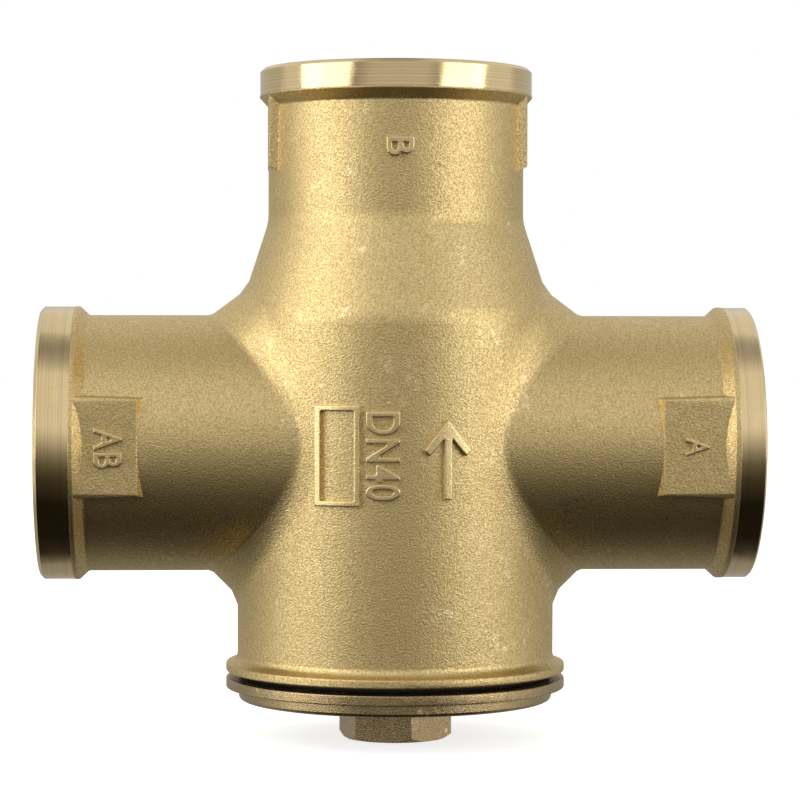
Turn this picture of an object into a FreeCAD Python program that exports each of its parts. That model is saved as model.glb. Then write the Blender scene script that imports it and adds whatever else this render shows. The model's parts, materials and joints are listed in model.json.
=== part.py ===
import FreeCAD, Part
import math
import os
from FreeCAD import Vector

# Three-way thermostatic mixing valve, G 1 1/2, cast brass body.
# Ports: AB (mixed water, -X), A (cold return, +X), B (hot supply, +Z).
# The insert is loaded from below and held by a spring on a screwed cover.
# Everything is drawn about the crossing of the port axes, then lifted so
# that z = 0 is the end of the cover's hexagon.  Millimetres, +Z up.

# ---- ports ----------------------------------------------------------------
SIDE_REACH = 74.0          # valve axis to the face of port A and of port AB
TOP_REACH = 78.2           # port axis to the face of port B
THREAD_R = 23.9            # G 1 1/2 pipe thread, major radius
THREAD_DEPTH = 21.0
MOUTH_CHAMFER = 1.2        # lead-in of each thread
THREAD_SHOULDER = 2.4      # step from each thread down to its waterway
TUBE_WALL = 2.85           # metal outside the thread
COLLAR_RISE = 1.75         # collar above the tube
COLLAR_EDGE = 0.7          # turned outer edge of a collar
COLLAR_EDGE_A = 0.35       # the same on port A
RAW_SKIN = 0.08            # cast strip standing proud of the turned band
COLLAR_LENGTH_AB = 7.9     # whole collar, without its back slope
COLLAR_LENGTH_A = 6.3
COLLAR_LENGTH_B = 5.9
TURNED_WIDTH_AB = 7.1      # turned part of the collar
TURNED_WIDTH_A = 5.3
TURNED_WIDTH_B = 5.6
COLLAR_SLOPE = 2.0         # length of the collar's cast back slope
COLLAR_ROOT_BLEND = 0.8    # where the slope meets the tube
COLLAR_CREST_BLEND = 0.4

# ---- cast body ------------------------------------------------------------
BARREL_R = 33.2
SHOULDER_Z = 26.5          # the barrel starts to taper
NECK_Z = 46.4              # the taper meets the tube of port B
SHOULDER_BLEND = 12.0
NECK_BLEND = 10.0
BARREL_DROP = 47.8         # port axis to the bottom face of the body
BEAD_RISE = 2.4            # rim at the foot of the barrel, above the barrel
BEAD_HEIGHT = 1.9
BEAD_FILLET = 1.9
BEAD_ROUND = 0.4
WEB_RHO = 5.5              # rolling radius that sets the width of a branch web
WEB_TUBE_SOFTENING = 0.6   # strip that softens a web's edge on the tube
WEB_BARREL_SOFTENING = 1.8 # the same on the barrel
WEB_SINK = 1.2             # how far a web's edges run into the casting

# ---- raised pads for the port letters --------------------------------------
PAD_RISE = 0.1             # flat of a pad above the tube, at the pad's middle
PAD_HALF_WIDTH = 10.2      # at the collar
PAD_TAPER = 0.5            # a pad's far end is narrower than that by this, on each side
PAD_ROOT = 5.6             # height of a pad from its foot inside the tube's wall
PAD_SIDE_DRAFT = 0.16      # slope of a pad's sides
PAD_END_DRAFT = 0.62       # slope of its far end
PAD_LENGTH_SIDE = 20.7     # from the face of port A or AB to the end of the flat
PAD_LENGTH_TOP = 20.5      # the same on port B
PAD_UNDER_COLLAR = 0.1     # a pad's corners stay below the collar by this

# ---- chambers inside the body ----------------------------------------------
PILOT_WALL = 2.2           # metal outside the bore that guides the cover
PILOT_DEPTH = 5.5
PILOT_STEP = 2.6           # from that bore down to the cover's thread, M58 x 2
COVER_THREAD_LENGTH = 12.0
THREAD_RELIEF = 0.9        # from the cover's thread down to the lower chamber
UPPER_CHAMBER_WALL = 8.2   # thick, so that the hot seat's corner clears the shoulder
UPPER_CHAMBER_TOP = 33.5   # underside of the hot seat
HOT_SEAT_THICKNESS = 3.5
HOT_SEAT_R = 13.5
HOT_SEAT_CHAMFER = 1.0
COLD_WALL_BOTTOM = -7.0    # wall between the cold and the mixed chamber
COLD_WALL_THICKNESS = 4.5
COLD_BORE_PLAY = 1.0       # round the collar of the insert's seat
CHAMBER_CORNER = 2.5
BLIND_WALL = 6.0           # metal between a side bore and the chamber it passes

# ---- cover -----------------------------------------------------------------
COVER_GAP = 1.3            # open slit between body and cover flange
FLANGE_THICKNESS = 2.1
FLANGE_EDGE = 0.25
STEP_INSET = 2.7           # from the flange's edge in to the step below it
STEP_HEIGHT = 2.6
STEP_ROUND = 0.8
HEX_ACROSS_FLATS = 21.0
HEX_HEIGHT = 8.2
HEX_TURN = 43.7            # where the screwed cover happens to stop, degrees
HEX_CHAMFER = 1.4
HEX_CHAMFER_SLOPE = 0.7    # height of the end chamfer to its width
HEX_END_BLEND = 0.6
SPIGOT_WALL = 3.6
SPIGOT_LENGTH = 11.6       # threaded part of the cover, above its pilot land
SPIGOT_CHAMFER = 1.0
COVER_FLOOR = 3.4          # cover metal between the step and the cup
CUP_CORNER = 1.0
SEAL_SECTION_R = 1.1       # rubber ring in the corner above the flange
SEAL_CLEARANCE = 0.05
THREAD_CLEARANCE = 0.05
PILOT_CLEARANCE = 0.3

# ---- seat of the insert ----------------------------------------------------
GASKET_THICKNESS = 2.0
GASKET_SETBACK = 1.0       # gasket's inner edge outside the wall's bore
PLATE_MARGIN = 2.0         # plate's edge to the wall of the lower chamber
SHEET = 1.2                # thickness of the pressed steel parts
SEAT_SHARE = 0.6863        # outside of the seat's collar, as a share of the plate
SEAT_LIP = 5.0             # width of the lip that leaves the cold seat's opening
SEAT_RISE = 5.0            # plate top to the top of the seat
CAGE_HALF_WIDTH = 4.0      # half width of a cage leg
CAGE_SEAM = 0.1            # a cage leg is thinner than the seat's collar by this
CAGE_LIP = 1.8             # top ring reaches in beyond the return spring by this
BRIDGE_HALF_WIDTH = 6.0
BRIDGE_THICKNESS = 2.0
BRIDGE_DROP = 16.0         # plate underside to the top of the bridge
BRIDGE_CLEARANCE = 2.9     # bridge foot to the hold-down spring
BRIDGE_KNEE_Y = 8.0
SEAT_CLEARANCE = 0.05      # between faces that touch on different bodies

# ---- moving element --------------------------------------------------------
LIFT = 8.0                 # full travel of the element
LIFT_CLEARANCE = 0.1
DISC_PLAY = 0.4            # disc to the cage's legs
DISC_SEAL_THICKNESS = 1.2
DISC_SEAL_SETBACK = 0.4    # seal's outer edge inside the disc's
DISC_SEAL_OVERHANG = 0.3   # seal's inner edge outside the cold seat's opening
COLLAR_SHANK_R = 7.0
COLLAR_SHANK_BELOW = 13.2  # guide collar below the main disc
COLLAR_HEAD_HEIGHT = 3.0
COLLAR_CLIP_R = 9.5
GROOVE_DEPTH = 0.8
PISTON_R = 3.45
PISTON_TIP = 7.8           # piston above the main disc
PISTON_TAPER = 1.5
GUIDE_CLEARANCE = 0.05
CAPSULE_PLAY = 0.5         # capsule to the hole in the cage's top
CAPSULE_WALL = 0.9
CAPSULE_DOME = 5.0
BOOT_WALL = 1.4            # rubber sleeve round the piston
BOOT_END = 3.0             # rubber beyond the piston's tip
BOOT_TIP_GAP = 0.3
BOOT_DOME = 2.5
STEM_R = 2.6
STEM_HEAD = 2.6            # stem beyond the bypass disc
BYPASS_LAP = 2.0           # bypass disc wider than the hot seat by this
BYPASS_CLEARANCE = 0.1
BYPASS_CLIP_R = 4.4
CLIP_THICKNESS = 1.0
CLIP_GAP_HALF_ANGLE = 35.0
BYPASS_OVERTRAVEL = 3.0    # how far the bypass disc can be pushed down the stem
BYPASS_NEST = 4.15         # height left for its spring then

# ---- springs ---------------------------------------------------------------
MAIN_WIRE_R = 0.8
MAIN_PLAY = 2.0            # return spring to the cage's legs
MAIN_TURNS = 4.5
MAIN_SOLID = 8.6           # height of the return spring at full lift
HOLD_WIRE_R = 1.1
HOLD_PLAY = 0.65           # hold-down spring to the cup's wall
HOLD_TURNS = 4.5
BYPASS_WIRE_R = 0.6
BYPASS_COIL_SETBACK = 1.9  # spring's foot inside the capsule's edge
BYPASS_COIL_TOP_R = 5.2
BYPASS_TURNS = 3.5
COIL_CLEARANCE = 0.05      # spring to its seats

# ---- sizes that follow from the ones above -----------------------------------
WATERWAY_R = THREAD_R - THREAD_SHOULDER
TUBE_R = THREAD_R + TUBE_WALL
COLLAR_R = TUBE_R + COLLAR_RISE
PAD_OFFSET = TUBE_R + PAD_RISE
TAPER = math.atan2(BARREL_R - TUBE_R, NECK_Z - SHOULDER_Z)
BEAD_R = BARREL_R + BEAD_RISE
STEP_R = BEAD_R - STEP_INSET
PILOT_R = BARREL_R - PILOT_WALL
COVER_THREAD_R = PILOT_R - PILOT_STEP
LOWER_CHAMBER_R = COVER_THREAD_R - THREAD_RELIEF
UPPER_CHAMBER_R = BARREL_R - UPPER_CHAMBER_WALL
PLATE_R = LOWER_CHAMBER_R - PLATE_MARGIN
SEAT_WALL_R = PLATE_R * SEAT_SHARE
SEAT_LIP_R = SEAT_WALL_R - SEAT_LIP
COLD_WALL_BORE_R = SEAT_WALL_R + COLD_BORE_PLAY
GASKET_INNER_R = COLD_WALL_BORE_R + GASKET_SETBACK
CAGE_INNER_R = SEAT_WALL_R - SHEET + CAGE_SEAM
DISC_R = CAGE_INNER_R - DISC_PLAY
DISC_SEAL_R = DISC_R - DISC_SEAL_SETBACK
DISC_SEAL_INNER_R = SEAT_LIP_R + DISC_SEAL_OVERHANG
MAIN_COIL_R = CAGE_INNER_R - MAIN_PLAY - MAIN_WIRE_R
CAGE_TOP_HOLE_R = MAIN_COIL_R - MAIN_WIRE_R - CAGE_LIP
CAPSULE_R = CAGE_TOP_HOLE_R - CAPSULE_PLAY
BYPASS_R = HOT_SEAT_R + BYPASS_LAP
BYPASS_COIL_FOOT_R = CAPSULE_R - BYPASS_COIL_SETBACK
AXIS_Z = HEX_HEIGHT + STEP_HEIGHT + FLANGE_THICKNESS + COVER_GAP + BARREL_DROP
MOUTH_Z = -BARREL_DROP
FLANGE_TOP = MOUTH_Z - COVER_GAP
FLANGE_BOTTOM = FLANGE_TOP - FLANGE_THICKNESS
STEP_BOTTOM = FLANGE_BOTTOM - STEP_HEIGHT
LAND_TOP = MOUTH_Z + PILOT_DEPTH
LAND_R = PILOT_R - PILOT_CLEARANCE
SEAL_SPACE = SEAL_SECTION_R + SEAL_CLEARANCE
SEAL_SEAT = (2 + math.sqrt(2)) * SEAL_SPACE - PILOT_CLEARANCE - COVER_GAP
SPIGOT_R = COVER_THREAD_R - THREAD_CLEARANCE
SPIGOT_TOP = LAND_TOP + SPIGOT_LENGTH
CUP_R = SPIGOT_R - SPIGOT_WALL
HOLD_COIL_R = CUP_R - HOLD_PLAY - HOLD_WIRE_R
BRIDGE_FOOT_Y = HOLD_COIL_R - HOLD_WIRE_R - BRIDGE_CLEARANCE
CUP_FLOOR = FLANGE_BOTTOM + COVER_FLOOR
COLD_WALL_TOP = COLD_WALL_BOTTOM + COLD_WALL_THICKNESS
PLATE_TOP = COLD_WALL_BOTTOM - GASKET_THICKNESS
PLATE_BOTTOM = PLATE_TOP - SHEET
SEAT_TOP = PLATE_TOP + SEAT_RISE
BRIDGE_TOP = PLATE_BOTTOM - BRIDGE_DROP
DISC_BOTTOM = SEAT_TOP + SEAT_CLEARANCE + DISC_SEAL_THICKNESS
DISC_TOP = DISC_BOTTOM + SHEET
HEAD_TOP = DISC_TOP + COLLAR_HEAD_HEIGHT
BYPASS_TOP = UPPER_CHAMBER_TOP - LIFT - LIFT_CLEARANCE
BYPASS_BOTTOM = BYPASS_TOP - SHEET
STEM_START = BYPASS_BOTTOM - BYPASS_OVERTRAVEL - BYPASS_NEST
CAGE_TOP = DISC_TOP + 2 * COIL_CLEARANCE + MAIN_SOLID + LIFT
STEM_TOP = BYPASS_TOP + STEM_HEAD
TIP_Z = DISC_TOP + PISTON_TIP
PISTON_BORE_R = PISTON_R + GUIDE_CLEARANCE

ORIGIN = Vector(0, 0, 0)
X, Y, Z = Vector(1, 0, 0), Vector(0, 1, 0), Vector(0, 0, 1)


# ---- drawing helpers ---------------------------------------------------------
def outline(corners, place):
    """Face whose corners are (a, b) or (a, b, blend radius), put in space by place(a, b)."""
    points = [place(c[0], c[1]) for c in corners]
    stops = []
    for i, corner in enumerate(corners):
        here, before, after = points[i], points[i - 1], points[(i + 1) % len(points)]
        radius = corner[2] if len(corner) > 2 else 0
        if radius == 0:
            stops.append((here, None, here))
            continue
        back, on = (before - here).normalize(), (after - here).normalize()
        half = back.getAngle(on) / 2
        reach = radius / math.tan(half)
        middle = here + (back + on).normalize() * (radius / math.sin(half) - radius)
        stops.append((here + back * reach, middle, here + on * reach))
    edges = []
    for i, (start, middle, end) in enumerate(stops):
        if middle is not None:
            edges.append(Part.Arc(start, middle, end).toShape())
        following = stops[(i + 1) % len(stops)][0]
        if end.distanceToPoint(following) > 1e-6:
            edges.append(Part.makeLine(end, following))
    return Part.Face(Part.Wire(edges))


def turned(corners, axis=Z):
    """Solid of revolution from (radius, height) corners, about the Z or the X axis."""
    if axis == Z:
        return outline(corners, lambda r, h: Vector(r, 0, h)).revolve(ORIGIN, Z, 360)
    return outline(corners, lambda r, h: Vector(h, 0, r)).revolve(ORIGIN, X, 360)


def ring(inner, outer, bottom, top):
    """Plain ring about Z."""
    return turned([(inner, bottom), (outer, bottom), (outer, top), (inner, top)])


def rod(radius, bottom, top):
    """Plain round bar about Z."""
    return Part.makeCylinder(radius, top - bottom, Vector(0, 0, bottom))


def slab(x_low, x_high, y_low, y_high, z_low, z_high):
    """Box between two corners."""
    return Part.makeBox(x_high - x_low, y_high - y_low, z_high - z_low, Vector(x_low, y_low, z_low))


def mirrored(shape):
    """The same shape on the other side of the YZ plane."""
    return shape.mirror(ORIGIN, X)


# ---- cast body ---------------------------------------------------------------
def port_outside(reach, length, turned_width, edge, axis):
    """Tube and collar of one port, from the valve's centre to the port's face."""
    raw = COLLAR_R + RAW_SKIN
    back = reach - length
    return turned([
        (0, 0), (TUBE_R, 0), (TUBE_R, back - COLLAR_SLOPE, COLLAR_ROOT_BLEND),
        (raw, back, COLLAR_CREST_BLEND), (raw, reach - turned_width), (COLLAR_R, reach - turned_width),
        (COLLAR_R, reach - edge), (COLLAR_R - edge, reach), (0, reach),
    ], axis)


def barrel_outside():
    """Barrel, taper and neck with the bead at the barrel's foot."""
    bead_top = MOUTH_Z + BEAD_HEIGHT
    return turned([
        (0, MOUTH_Z), (BEAD_R, MOUTH_Z, BEAD_ROUND), (BEAD_R, bead_top, BEAD_ROUND),
        (BARREL_R, bead_top, BEAD_FILLET), (BARREL_R, SHOULDER_Z, SHOULDER_BLEND),
        (TUBE_R, NECK_Z, NECK_BLEND), (TUBE_R, NECK_Z + NECK_BLEND), (0, NECK_Z + NECK_BLEND),
    ])


def barrel_radius(height):
    """Radius of the barrel or of its taper at a height."""
    if height < SHOULDER_Z:
        return BARREL_R
    return BARREL_R - (BARREL_R - TUBE_R) * (height - SHOULDER_Z) / (NECK_Z - SHOULDER_Z)


def barrel_lean(height):
    """Angle of the barrel's surface to the vertical, turning smoothly through the shoulder."""
    half_arc = SHOULDER_BLEND * math.sin(TAPER / 2)
    return TAPER * min(max((height - SHOULDER_Z + half_arc) / (2 * half_arc), 0.0), 1.0)


def web_section(angle):
    """Corners of a branch web where a ball rolls in the corner at this angle round the port."""
    sine, cosine = math.sin(angle), math.cos(angle)
    ball = TUBE_R + WEB_RHO
    centre_x = math.sqrt((BARREL_R + WEB_RHO) ** 2 - (ball * sine) ** 2)
    on_tube = Vector(centre_x, TUBE_R * sine, TUBE_R * cosine)
    turn = math.asin(ball * sine / (BARREL_R + WEB_RHO))
    out = Vector(math.cos(turn), math.sin(turn), 0)
    on_barrel = out * barrel_radius(ball * cosine) + Z * (ball * cosine)
    lean = barrel_lean(ball * cosine)
    barrel_normal = out * math.cos(lean) + Z * math.sin(lean)
    along = (on_tube - on_barrel).normalize()
    tube_normal = Vector(0, sine, cosine)
    tube_way = (along - tube_normal * along.dot(tube_normal)).normalize()
    barrel_way = (barrel_normal * along.dot(barrel_normal) - along).normalize()
    tube_foot = on_tube + tube_way * WEB_TUBE_SOFTENING
    tube_knee = on_tube - along * WEB_TUBE_SOFTENING
    barrel_foot = on_barrel + barrel_way * WEB_BARREL_SOFTENING
    barrel_knee = on_barrel + along * WEB_BARREL_SOFTENING
    crossing_x = math.sqrt(BARREL_R ** 2 - (TUBE_R * sine) ** 2)
    return [
        tube_foot + (tube_foot - tube_knee).normalize() * WEB_SINK, tube_knee, barrel_knee,
        barrel_foot + (barrel_foot - barrel_knee).normalize() * WEB_SINK,
        Vector(crossing_x, TUBE_R * sine, TUBE_R * cosine) * 0.9,
    ]


def branch_web():
    """Closed ring of metal that fills the corner between the barrel and the tube of port A."""
    steps = 48
    sections = [web_section(2 * math.pi * i / steps) for i in range(steps)]
    loops = []
    for corner in range(len(sections[0])):
        curve = Part.BSplineCurve()
        curve.interpolate(Points=[s[corner] for s in sections], PeriodicFlag=True,
                          Parameters=[i / steps for i in range(steps + 1)])
        loops.append(curve.toShape())
    faces = [Part.makeRuledSurface(loops[i - 1], loops[i]) for i in range(len(loops))]
    web = Part.makeSolid(Part.makeShell(faces))
    if web.Volume < 0:
        web.reverse()
    return web


def letter_pad(length, reach):
    """Drafted pad along +X with its flat towards -Y, from inside the collar to its far end."""
    outer = reach - TURNED_WIDTH_A
    rims = []
    for depth in (PAD_ROOT, 0):
        inner = reach - length - PAD_END_DRAFT * depth
        wide = PAD_HALF_WIDTH + PAD_SIDE_DRAFT * depth
        narrow = wide - PAD_TAPER
        corners = [(inner, -narrow), (outer, -wide), (outer, wide), (inner, narrow), (inner, -narrow)]
        rims.append(Part.makePolygon([Vector(x, depth - PAD_OFFSET, z) for x, z in corners]))
    limit = Part.makeCylinder(COLLAR_R - PAD_UNDER_COLLAR, reach, ORIGIN, X)
    return Part.makeLoft(rims, True, True).common(limit)


def letter_pads():
    """Six pads: front and back of ports A and AB, both sides of port B."""
    side = letter_pad(PAD_LENGTH_SIDE, SIDE_REACH)
    top = letter_pad(PAD_LENGTH_TOP, TOP_REACH)
    top.rotate(ORIGIN, Y, -90)
    top.rotate(ORIGIN, Z, 90)
    pads = []
    for half_turn in (0, 180):
        for pad, axis in ((side, X), (mirrored(side), X), (top, Z)):
            copy = pad.copy()
            copy.rotate(ORIGIN, axis, half_turn)
            pads.append(copy)
    return pads


def body_hollow():
    """Everything that is cut out of the casting: threads, waterways, chambers and seats."""
    cuts = []
    for reach, axis in ((SIDE_REACH, X), (TOP_REACH, Z)):
        floor = UPPER_CHAMBER_R + BLIND_WALL if axis == X else UPPER_CHAMBER_TOP + HOT_SEAT_THICKNESS
        bore = turned([
            (0, floor), (WATERWAY_R, floor, CHAMBER_CORNER), (WATERWAY_R, reach - THREAD_DEPTH),
            (THREAD_R, reach - THREAD_DEPTH), (THREAD_R, reach - MOUTH_CHAMFER),
            (THREAD_R + MOUTH_CHAMFER, reach), (0, reach),
        ], axis)
        cuts.append(bore)
        if axis == X:
            cuts.append(mirrored(bore))
    inward = Part.makeCylinder(WATERWAY_R, UPPER_CHAMBER_R + 2 * BLIND_WALL, ORIGIN, X)
    big = SIDE_REACH
    cuts.append(inward.common(slab(0, big, -big, big, -big, COLD_WALL_BOTTOM)))
    cuts.append(mirrored(inward).common(slab(-big, 0, -big, big, COLD_WALL_TOP, big)))
    cuts.append(turned([
        (0, MOUTH_Z), (PILOT_R + SEAL_SEAT, MOUTH_Z), (PILOT_R, MOUTH_Z + SEAL_SEAT),
        (PILOT_R, LAND_TOP), (COVER_THREAD_R, LAND_TOP + PILOT_STEP),
        (COVER_THREAD_R, LAND_TOP + COVER_THREAD_LENGTH), (LOWER_CHAMBER_R, LAND_TOP + COVER_THREAD_LENGTH),
        (LOWER_CHAMBER_R, COLD_WALL_BOTTOM), (0, COLD_WALL_BOTTOM),
    ]))
    cuts.append(rod(COLD_WALL_BORE_R, COLD_WALL_BOTTOM, COLD_WALL_TOP))
    cuts.append(turned([
        (0, COLD_WALL_TOP), (UPPER_CHAMBER_R, COLD_WALL_TOP),
        (UPPER_CHAMBER_R, UPPER_CHAMBER_TOP, CHAMBER_CORNER), (0, UPPER_CHAMBER_TOP),
    ]))
    hot_top = UPPER_CHAMBER_TOP + HOT_SEAT_THICKNESS
    cuts.append(turned([
        (0, UPPER_CHAMBER_TOP), (HOT_SEAT_R, UPPER_CHAMBER_TOP),
        (HOT_SEAT_R, hot_top - HOT_SEAT_CHAMFER), (HOT_SEAT_R + HOT_SEAT_CHAMFER, hot_top), (0, hot_top),
    ]))
    return cuts[0].fuse(cuts[1:])


def valve_body():
    """The casting: barrel, three ports, branch webs and pads, bored from every end."""
    side_a = port_outside(SIDE_REACH, COLLAR_LENGTH_A, TURNED_WIDTH_A, COLLAR_EDGE_A, X)
    side_ab = mirrored(port_outside(SIDE_REACH, COLLAR_LENGTH_AB, TURNED_WIDTH_AB, COLLAR_EDGE, X))
    top_b = port_outside(TOP_REACH, COLLAR_LENGTH_B, TURNED_WIDTH_B, COLLAR_EDGE, Z)
    web = branch_web()
    solid = barrel_outside().fuse([side_a, side_ab, top_b, web, mirrored(web)] + letter_pads())
    return solid.removeSplitter().cut(body_hollow())


# ---- cover and its seal --------------------------------------------------------
def hexagon():
    """Hexagon bar below the cover, its end chamfered by a cone."""
    corner = HEX_ACROSS_FLATS / math.sqrt(3)
    bottom = STEP_BOTTOM - HEX_HEIGHT
    points = []
    for i in range(7):
        angle = math.radians(HEX_TURN + 60 * i)
        points.append(Vector(corner * math.cos(angle), corner * math.sin(angle), bottom))
    bar = Part.Face(Part.makePolygon(points)).extrude(Z * HEX_HEIGHT)
    cone = turned([
        (0, bottom), (corner - HEX_CHAMFER, bottom, HEX_END_BLEND),
        (corner, bottom + HEX_CHAMFER * HEX_CHAMFER_SLOPE),
        (corner, STEP_BOTTOM), (0, STEP_BOTTOM),
    ])
    return bar.common(cone)


def cover():
    """Screwed cover: hexagon, stepped flange, pilot land and threaded cup."""
    flange = turned([
        (0, STEP_BOTTOM), (STEP_R, STEP_BOTTOM, STEP_ROUND), (STEP_R, FLANGE_BOTTOM),
        (BEAD_R, FLANGE_BOTTOM, FLANGE_EDGE), (BEAD_R, FLANGE_TOP, FLANGE_EDGE),
        (LAND_R, FLANGE_TOP), (LAND_R, LAND_TOP - THREAD_CLEARANCE),
        (SPIGOT_R, LAND_TOP - THREAD_CLEARANCE), (SPIGOT_R, SPIGOT_TOP - SPIGOT_CHAMFER),
        (SPIGOT_R - SPIGOT_CHAMFER, SPIGOT_TOP), (CUP_R, SPIGOT_TOP), (CUP_R, CUP_FLOOR, CUP_CORNER),
        (0, CUP_FLOOR),
    ])
    return flange.fuse(hexagon()).removeSplitter()


def cover_o_ring():
    """Rubber ring in the corner between the flange, the pilot land and the body's seat."""
    return Part.makeTorus(LAND_R + SEAL_SPACE, SEAL_SECTION_R, Vector(0, 0, FLANGE_TOP + SEAL_SPACE))


# ---- springs -------------------------------------------------------------------
def coil(wire_r, foot_r, top_r, bottom, top, turns):
    """Coil spring with closed ends between two heights; foot and top radii may differ."""
    low, high = bottom + wire_r, top - wire_r
    per_turn = 12
    count = int(round(turns * per_turn))
    points = []
    for i in range(count + 1):
        share = i / count
        climb = min(max((share * turns - 0.75) / (turns - 1.5), 0.0), 1.0)
        squeeze = 2 * wire_r * 1.02
        height = low + squeeze * min(share * turns, 0.75) / 0.75
        height += (high - low - 2 * squeeze) * climb
        height += squeeze * min(max(share * turns - turns + 0.75, 0.0), 0.75) / 0.75
        radius = foot_r + (top_r - foot_r) * share
        angle = 2 * math.pi * i / per_turn
        points.append(Vector(radius * math.cos(angle), radius * math.sin(angle), height))
    path = Part.BSplineCurve()
    path.interpolate(points)
    wire = Part.Wire(path.toShape())
    section = Part.Wire(Part.Circle(points[0], path.tangent(path.FirstParameter)[0], wire_r).toShape())
    return wire.makePipeShell([section], True, True)


def main_spring():
    """Return spring between the main disc and the cage."""
    return coil(MAIN_WIRE_R, MAIN_COIL_R, MAIN_COIL_R, DISC_TOP + COIL_CLEARANCE,
                CAGE_TOP - COIL_CLEARANCE, MAIN_TURNS)


def hold_down_spring():
    """Spring that presses the insert against its gasket, seated in the cover's cup."""
    return coil(HOLD_WIRE_R, HOLD_COIL_R, HOLD_COIL_R, CUP_FLOOR + COIL_CLEARANCE,
                PLATE_BOTTOM - COIL_CLEARANCE, HOLD_TURNS)


def bypass_spring():
    """Conical overtravel spring between the capsule's dome and the bypass disc."""
    return coil(BYPASS_WIRE_R, BYPASS_COIL_FOOT_R, BYPASS_COIL_TOP_R, STEM_START + COIL_CLEARANCE,
                BYPASS_BOTTOM - COIL_CLEARANCE, BYPASS_TURNS)


# ---- fixed parts of the insert ---------------------------------------------------
def flange_gasket():
    """Flat rubber gasket between the insert's plate and the wall of the body."""
    return ring(GASKET_INNER_R, PLATE_R, PLATE_TOP, COLD_WALL_BOTTOM)


def seat_plate():
    """Pressed steel plate with a raised collar that ends in the cold seat."""
    return turned([
        (SEAT_WALL_R - SHEET, PLATE_BOTTOM), (PLATE_R, PLATE_BOTTOM), (PLATE_R, PLATE_TOP),
        (SEAT_WALL_R, PLATE_TOP, 0.6), (SEAT_WALL_R, SEAT_TOP, 0.8), (SEAT_LIP_R, SEAT_TOP),
        (SEAT_LIP_R, SEAT_TOP - SHEET), (SEAT_WALL_R - SHEET, SEAT_TOP - SHEET),
    ])


def spring_cage():
    """Two legs and a top ring that hold the return spring down."""
    shell = turned([
        (CAGE_INNER_R, SEAT_TOP), (SEAT_WALL_R, SEAT_TOP),
        (SEAT_WALL_R, CAGE_TOP + SHEET, 0.9), (CAGE_TOP_HOLE_R, CAGE_TOP + SHEET),
        (CAGE_TOP_HOLE_R, CAGE_TOP), (CAGE_INNER_R, CAGE_TOP),
    ])
    legs = slab(-CAGE_HALF_WIDTH, CAGE_HALF_WIDTH, -SEAT_WALL_R, SEAT_WALL_R, SEAT_TOP, CAGE_TOP)
    return shell.common(legs.fuse(rod(SEAT_WALL_R, CAGE_TOP - 0.5, CAGE_TOP + SHEET)))


def piston_bridge():
    """Bent strap under the plate that carries the piston."""
    corners = [
        (BRIDGE_FOOT_Y, PLATE_BOTTOM), (BRIDGE_FOOT_Y - 2 * BRIDGE_THICKNESS, PLATE_BOTTOM, 1.0),
        (BRIDGE_KNEE_Y - BRIDGE_THICKNESS / 2, BRIDGE_TOP, 1.5),
    ]
    inner = corners + [(-y, z) + tuple(r) for y, z, *r in reversed(corners)]
    drop = BRIDGE_THICKNESS
    outer = [
        (-BRIDGE_FOOT_Y, PLATE_BOTTOM - drop), (1 - BRIDGE_FOOT_Y - drop, PLATE_BOTTOM - drop, 1.0),
        (-BRIDGE_KNEE_Y, BRIDGE_TOP - drop, 2.5), (BRIDGE_KNEE_Y, BRIDGE_TOP - drop, 2.5),
        (BRIDGE_FOOT_Y + drop - 1, PLATE_BOTTOM - drop, 1.0), (BRIDGE_FOOT_Y, PLATE_BOTTOM - drop),
    ]
    strap = outline(inner + outer, lambda a, b: Vector(-BRIDGE_HALF_WIDTH, a, b))
    strap = strap.extrude(X * 2 * BRIDGE_HALF_WIDTH)
    return strap.cut(rod(PISTON_BORE_R, BRIDGE_TOP - 2 * drop, BRIDGE_TOP + drop))


def piston():
    """Polished pin held in the bridge; the wax pushes the capsule off it."""
    foot = BRIDGE_TOP - BRIDGE_THICKNESS
    return turned([
        (0, foot), (PISTON_R, foot, 0.4), (PISTON_R, TIP_Z - PISTON_TAPER, 0.8),
        (PISTON_R * 0.45, TIP_Z, 0.5), (0, TIP_Z),
    ])


# ---- moving element ----------------------------------------------------------------
def main_valve_disc():
    """Steel disc that opens the cold seat."""
    return turned([
        (COLLAR_SHANK_R, DISC_BOTTOM), (DISC_R, DISC_BOTTOM, 0.4), (DISC_R, DISC_TOP, 0.4),
        (COLLAR_SHANK_R, DISC_TOP),
    ])


def main_disc_seal():
    """Rubber ring under the disc's rim."""
    return ring(DISC_SEAL_INNER_R, DISC_SEAL_R, DISC_BOTTOM - DISC_SEAL_THICKNESS, DISC_BOTTOM)


def open_clip(inner, outer, bottom, top):
    """Flat spring clip, open on one side."""
    wedge = Part.makeCylinder(2 * outer, top - bottom, Vector(0, 0, bottom), Z, 2 * CLIP_GAP_HALF_ANGLE)
    wedge.rotate(ORIGIN, Z, -90 - CLIP_GAP_HALF_ANGLE)
    return ring(inner, outer, bottom, top).cut(wedge)


def main_disc_clip():
    """Clip in the collar's groove, holding the disc against the collar's head."""
    return open_clip(COLLAR_SHANK_R - GROOVE_DEPTH, COLLAR_CLIP_R, DISC_BOTTOM - CLIP_THICKNESS, DISC_BOTTOM)


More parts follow.
